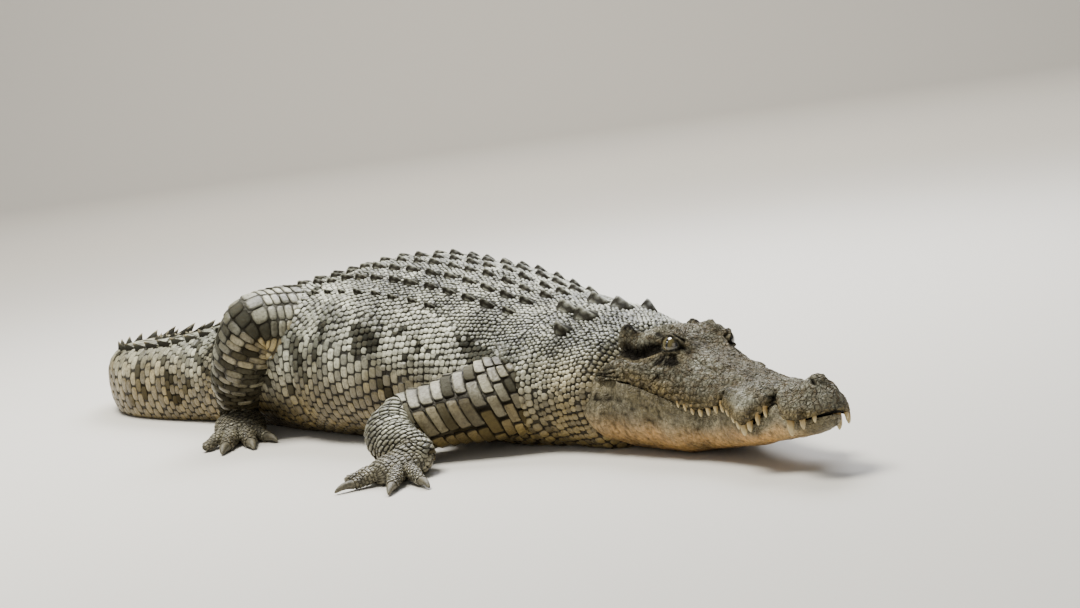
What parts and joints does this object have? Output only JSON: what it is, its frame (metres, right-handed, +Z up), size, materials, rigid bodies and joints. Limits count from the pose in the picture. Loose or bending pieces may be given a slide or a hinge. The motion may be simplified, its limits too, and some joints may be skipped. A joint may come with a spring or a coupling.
{
  "type": "saltwater crocodile model",
  "caption": "Life-size still model of a bulky adult saltwater crocodile lying on its belly, legs bent at its sides, tail curled round behind.",
  "frame": {"origin": "on the floor under the middle of the trunk, in the belly's flat resting face", "axes": "+X along the trunk towards the head, +Y towards the animal's left, +Z up"},
  "size_m": [2.7986, 1.3505, 0.3779],
  "materials": {
    "skin": "matt, scaly",
    "eye": "wet gloss",
    "claw": "dull horn"
  },
  "bodies": {
    "root": {"head": "skin", "lower_jaw": "skin", "neck": "skin", "trunk": "skin", "tail_base": "skin", "tail_middle": "skin", "tail_tip": "skin", "front_leg_left": "skin", "front_leg_right": "skin", "front_hand_left": "skin", "front_hand_right": "skin", "hind_leg_left": "skin", "hind_leg_right": "skin", "hind_foot_left": "skin", "hind_foot_right": "skin", "eye_left": "eye", "eye_right": "eye", "front_hand_left_claw_1": "claw", "front_hand_left_claw_2": "claw", "front_hand_left_claw_3": "claw", "front_hand_right_claw_1": "claw", "front_hand_right_claw_2": "claw", "front_hand_right_claw_3": "claw", "hind_foot_left_claw_1": "claw", "hind_foot_left_claw_2": "claw", "hind_foot_left_claw_3": "claw", "hind_foot_right_claw_1": "claw", "hind_foot_right_claw_2": "claw", "hind_foot_right_claw_3": "claw"}
  },
  "joints": []
}
